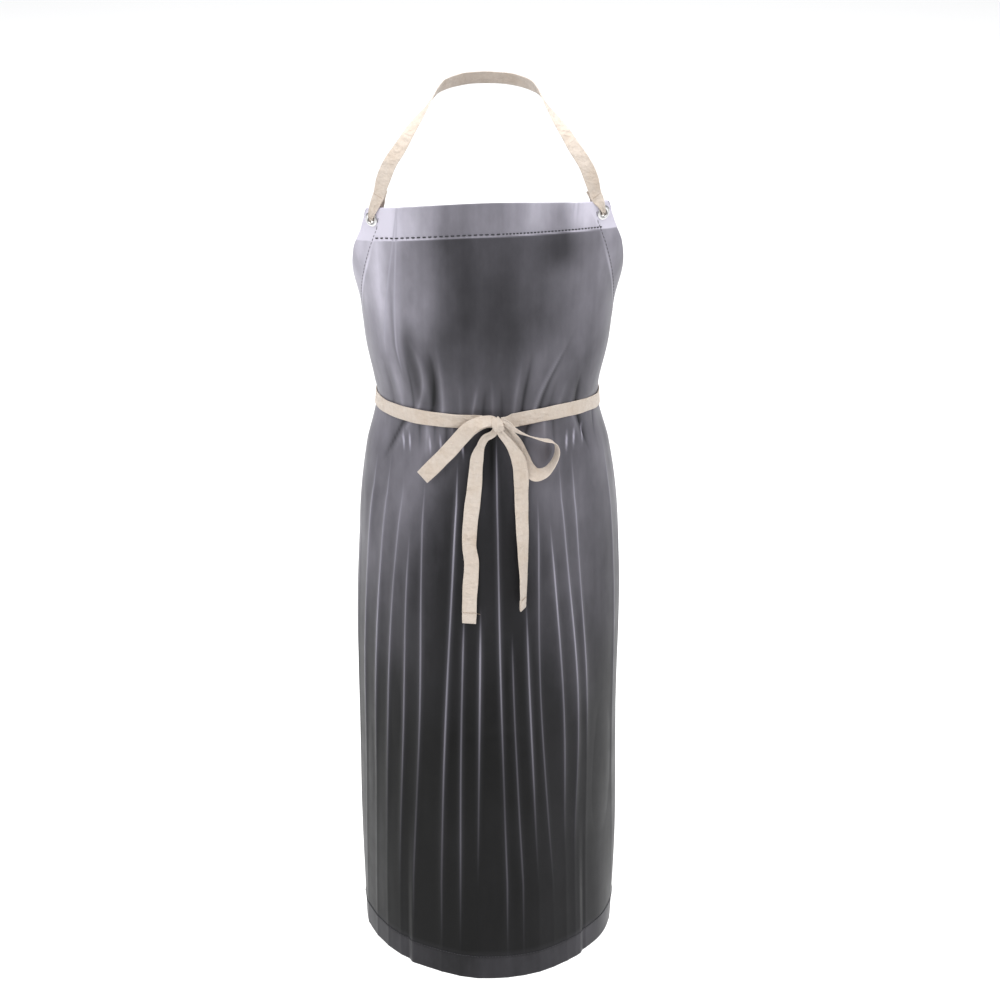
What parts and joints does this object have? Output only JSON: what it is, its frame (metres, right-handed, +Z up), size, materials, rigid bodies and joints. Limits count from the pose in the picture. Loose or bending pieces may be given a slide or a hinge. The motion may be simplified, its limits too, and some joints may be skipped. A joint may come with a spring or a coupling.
{
  "type": "butcher apron",
  "caption": "Clear vinyl bib apron hung as worn: hemmed sheet with corner grommets, cotton neck strap and waist ties tied in a bow at the front.",
  "frame": {"origin": "on the axis of the wearer's neck, at the height where the neck strap bears on the collar", "axes": "+Z up; the wearer faces -Y; +X is the apron's right as it is seen from the front"},
  "size_m": [0.3584, 0.297, 1.2535],
  "materials": {
    "vinyl": "smoky see-through soft vinyl sheet, satin, with flute creases",
    "vinyl_hem": "the same vinyl in two layers, milkier and lighter",
    "seam_thread": "dark polyester lockstitch",
    "cotton_tape": "natural cotton twill tape",
    "tape_thread": "natural cotton thread",
    "nickel": "nickel-plated brass, bright"
  },
  "bodies": {
    "apron": {"bib_grommet_left": "nickel", "bib_washer_left": "nickel", "waist_grommet_left": "nickel", "waist_washer_left": "nickel", "bib_grommet_right": "nickel", "bib_washer_right": "nickel", "waist_grommet_right": "nickel", "waist_washer_right": "nickel", "apron_panel": "vinyl", "top_hem": "vinyl_hem", "bottom_hem": "vinyl_hem", "armhole_hem_left": "vinyl_hem", "side_hem_left": "vinyl_hem", "armhole_stitching_left": "seam_thread", "side_stitching_left": "seam_thread", "armhole_hem_right": "vinyl_hem", "side_hem_right": "vinyl_hem", "armhole_stitching_right": "seam_thread", "side_stitching_right": "seam_thread", "top_hem_stitching": "seam_thread", "bottom_hem_stitching": "seam_thread", "strap_loop_left": "cotton_tape", "strap_bartack_left": "tape_thread", "tie_loop_left": "cotton_tape", "tie_bartack_left": "tape_thread", "strap_loop_right": "cotton_tape", "strap_bartack_right": "tape_thread", "tie_loop_right": "cotton_tape", "tie_bartack_right": "tape_thread", "waist_tie_left": "cotton_tape", "waist_tie_right": "cotton_tape", "bow_knot": "cotton_tape"},
    "neck_strap": {"neck_strap": "cotton_tape"},
    "bow_loop_left": {"bow_loop_left": "cotton_tape"},
    "bow_loop_right": {"bow_loop_right": "cotton_tape"},
    "tail_left": {"tie_tail_left": "cotton_tape", "tail_hem_stitching_left": "tape_thread"},
    "tail_right": {"tie_tail_right": "cotton_tape", "tail_hem_stitching_right": "tape_thread"}
  },
  "joints": [
    {"name": "neck_strap_swing", "type": "hinge", "parent": "apron", "child": "neck_strap", "pos_m": [0, -0.0915, -0.104], "axis": [1, 0, 0], "range_deg": [0, 145]},
    {"name": "tail_left_swing", "type": "hinge", "parent": "apron", "child": "tail_left", "pos_m": [-0.004, -0.1245, -0.4265], "axis": [-1, 0, 0], "range_deg": [0, 60]},
    {"name": "bow_loop_left_lift", "type": "hinge", "parent": "apron", "child": "bow_loop_left", "pos_m": [0.004, -0.115, -0.405], "axis": [-1, 0, 0], "range_deg": [0, 40]},
    {"name": "bow_loop_right_lift", "type": "hinge", "parent": "apron", "child": "bow_loop_right", "pos_m": [0.022, -0.1275, -0.419], "axis": [-1, 0, 0], "range_deg": [0, 30]},
    {"name": "tail_right_swing", "type": "hinge", "parent": "bow_loop_right", "child": "tail_right", "pos_m": [0.03, -0.1285, -0.4275], "axis": [-1, 0, 0], "range_deg": [0, 50]}
  ]
}
